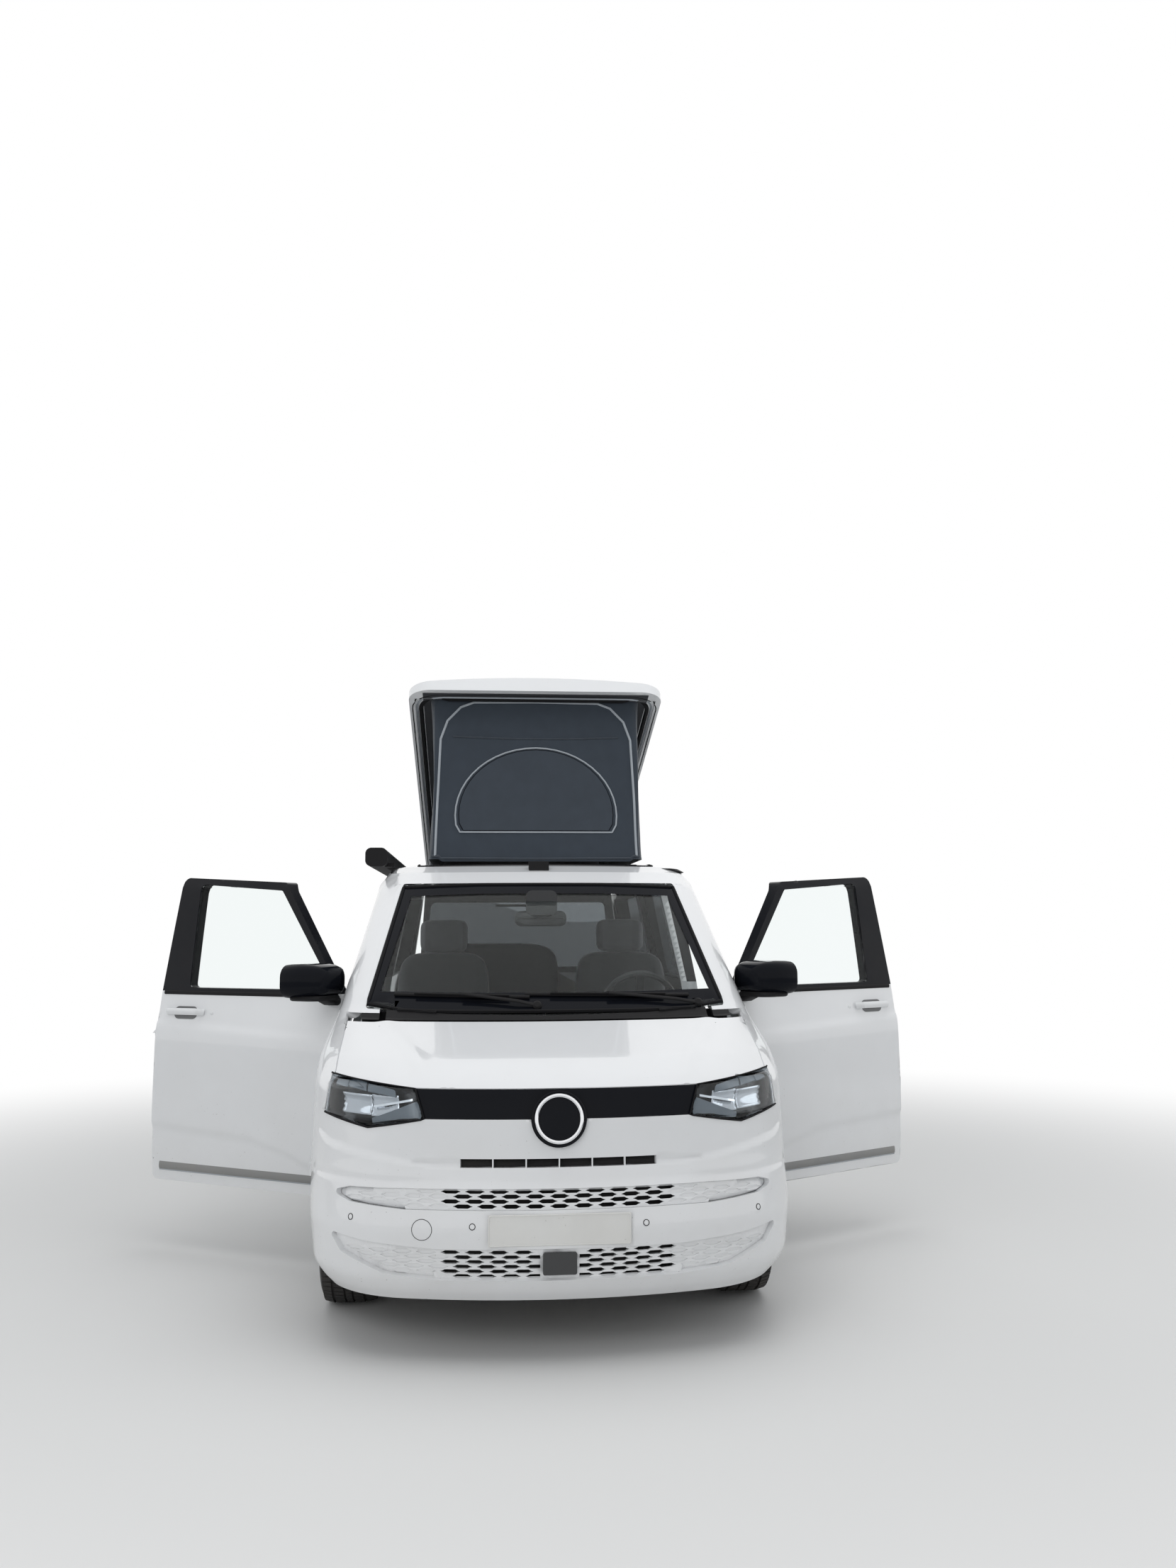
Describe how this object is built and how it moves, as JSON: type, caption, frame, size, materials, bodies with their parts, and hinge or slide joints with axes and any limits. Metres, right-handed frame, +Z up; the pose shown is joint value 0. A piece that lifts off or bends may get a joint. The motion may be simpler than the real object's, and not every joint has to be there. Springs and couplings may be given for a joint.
{
  "type": "camper van",
  "caption": "Camper van with a raised pop-up roof, open front doors, steered and free-turning wheels, bonnet and tailgate.",
  "frame": {"origin": "on the ground, midway along and across the van", "axes": "+Z up, the van faces -Y, +X is its left (driver's) side"},
  "size_m": [3.842, 5.1724, 2.8796],
  "materials": {
    "white_paint": "solid white body paint",
    "black_gloss": "gloss black trim",
    "lamp_glass": "smoky clear lamp lens",
    "clear_glass": "clear window glass",
    "dark_glass": "dark tinted window glass",
    "red_lens": "red lamp lens",
    "grey_floor": "grey floor covering",
    "black_plastic": "textured black plastic",
    "canvas": "slate grey roof canvas",
    "cab_plastic": "dark cab moulding",
    "seat_fabric": "grey seat cloth",
    "cabinet_board": "pale grey furniture board",
    "cast_metal": "engine casting",
    "dark_steel": "dark painted steel",
    "plate_white": "blank white plate",
    "tyre_rubber": "tyre rubber",
    "rim_alloy": "silver alloy rim"
  },
  "bodies": {
    "body": {"front_bumper": "white_paint", "grille_upper": "white_paint", "grille_lower": "white_paint", "front_strip": "black_gloss", "headlamp_left": "lamp_glass", "headlamp_right": "lamp_glass", "wing_left": "white_paint", "wing_right": "white_paint", "body_side_left": "white_paint", "body_side_right": "white_paint", "roof_panel": "white_paint", "windscreen": "clear_glass", "sliding_door_left": "white_paint", "sliding_door_right": "white_paint", "side_glass_left": "dark_glass", "side_glass_right": "dark_glass", "rear_bumper": "white_paint", "tail_lamps": "red_lens", "floor_pan": "grey_floor", "front_cowl": "black_plastic", "roof_canvas": "canvas", "awning_case": "black_plastic", "roof_fittings": "black_plastic", "dashboard": "cab_plastic", "steering_column": "black_plastic", "front_seats": "seat_fabric", "camper_cabinet": "cabinet_board", "rear_bench": "seat_fabric", "engine_block": "cast_metal", "front_frame": "dark_steel", "rear_axle": "dark_steel", "plate_front": "plate_white", "wipers": "black_plastic"},
    "bonnet": {"bonnet": "white_paint"},
    "door_left": {"door_left": "white_paint", "door_glass_left": "clear_glass", "door_mirror_left": "black_gloss"},
    "door_right": {"door_right": "white_paint", "door_glass_right": "clear_glass", "door_mirror_right": "black_gloss"},
    "tailgate": {"tailgate": "white_paint", "tailgate_glass": "dark_glass", "plate_rear": "plate_white"},
    "roof_lid": {"roof_lid": "white_paint"},
    "steering_wheel": {"steering_wheel": "black_plastic"},
    "knuckle_left": {"knuckle_left": "dark_steel"},
    "knuckle_right": {"knuckle_right": "dark_steel"},
    "wheel_front_left": {"tyre_front_left": "tyre_rubber", "rim_front_left": "rim_alloy"},
    "wheel_front_right": {"tyre_front_right": "tyre_rubber", "rim_front_right": "rim_alloy"},
    "wheel_rear_left": {"tyre_rear_left": "tyre_rubber", "rim_rear_left": "rim_alloy"},
    "wheel_rear_right": {"tyre_rear_right": "tyre_rubber", "rim_rear_right": "rim_alloy"}
  },
  "joints": [
    {"name": "door_left_swing", "type": "hinge", "parent": "body", "child": "door_left", "pos_m": [0.957, -1.2325, 0.8], "axis": [0, 0, 1], "range_deg": [0, 59.4]},
    {"name": "door_right_swing", "type": "hinge", "parent": "body", "child": "door_right", "pos_m": [-0.957, -1.2325, 0.8], "axis": [0, 0, -1], "range_deg": [0, 59.4]},
    {"name": "bonnet_lift", "type": "hinge", "parent": "body", "child": "bonnet", "pos_m": [0, -1.7365, 1.15], "axis": [-1, 0, 0], "range_deg": [0, 50]},
    {"name": "tailgate_lift", "type": "hinge", "parent": "body", "child": "tailgate", "pos_m": [0, 2.3285, 1.841], "axis": [1, 0, 0], "range_deg": [0, 80]},
    {"name": "roof_lid_lower", "type": "hinge", "parent": "body", "child": "roof_lid", "pos_m": [0, 2.0635, 1.94], "axis": [1, 0, 0], "range_deg": [0, 17.6], "deforming": ["roof_canvas"]},
    {"name": "steer_left", "type": "hinge", "parent": "body", "child": "knuckle_left", "pos_m": [0.655, -1.6615, 0.215], "axis": [0, 0, 1], "range_deg": [-33, 33]},
    {"name": "steer_right", "type": "hinge", "parent": "body", "child": "knuckle_right", "pos_m": [-0.655, -1.6615, 0.215], "axis": [0, 0, 1], "range_deg": [-33, 33]},
    {"name": "steering_wheel_turn", "type": "hinge", "parent": "body", "child": "steering_wheel", "pos_m": [0.49, -1.0465, 1.175], "axis": [0, 0.9063, 0.4226], "range_deg": [-465, 465]},
    {"name": "wheel_front_left_spin", "type": "hinge", "parent": "knuckle_left", "child": "wheel_front_left", "pos_m": [0.82, -1.6615, 0.345], "axis": [1, 0, 0], "continuous": true},
    {"name": "wheel_front_right_spin", "type": "hinge", "parent": "knuckle_right", "child": "wheel_front_right", "pos_m": [-0.82, -1.6615, 0.345], "axis": [1, 0, 0], "continuous": true},
    {"name": "wheel_rear_left_spin", "type": "hinge", "parent": "body", "child": "wheel_rear_left", "pos_m": [0.82, 1.4625, 0.345], "axis": [1, 0, 0], "continuous": true},
    {"name": "wheel_rear_right_spin", "type": "hinge", "parent": "body", "child": "wheel_rear_right", "pos_m": [-0.82, 1.4625, 0.345], "axis": [1, 0, 0], "continuous": true}
  ],
  "couplings": [
    {"joint": "steer_right", "follows": "steer_left", "ratio": 1},
    {"joint": "steering_wheel_turn", "follows": "steer_left", "ratio": 14}
  ]
}
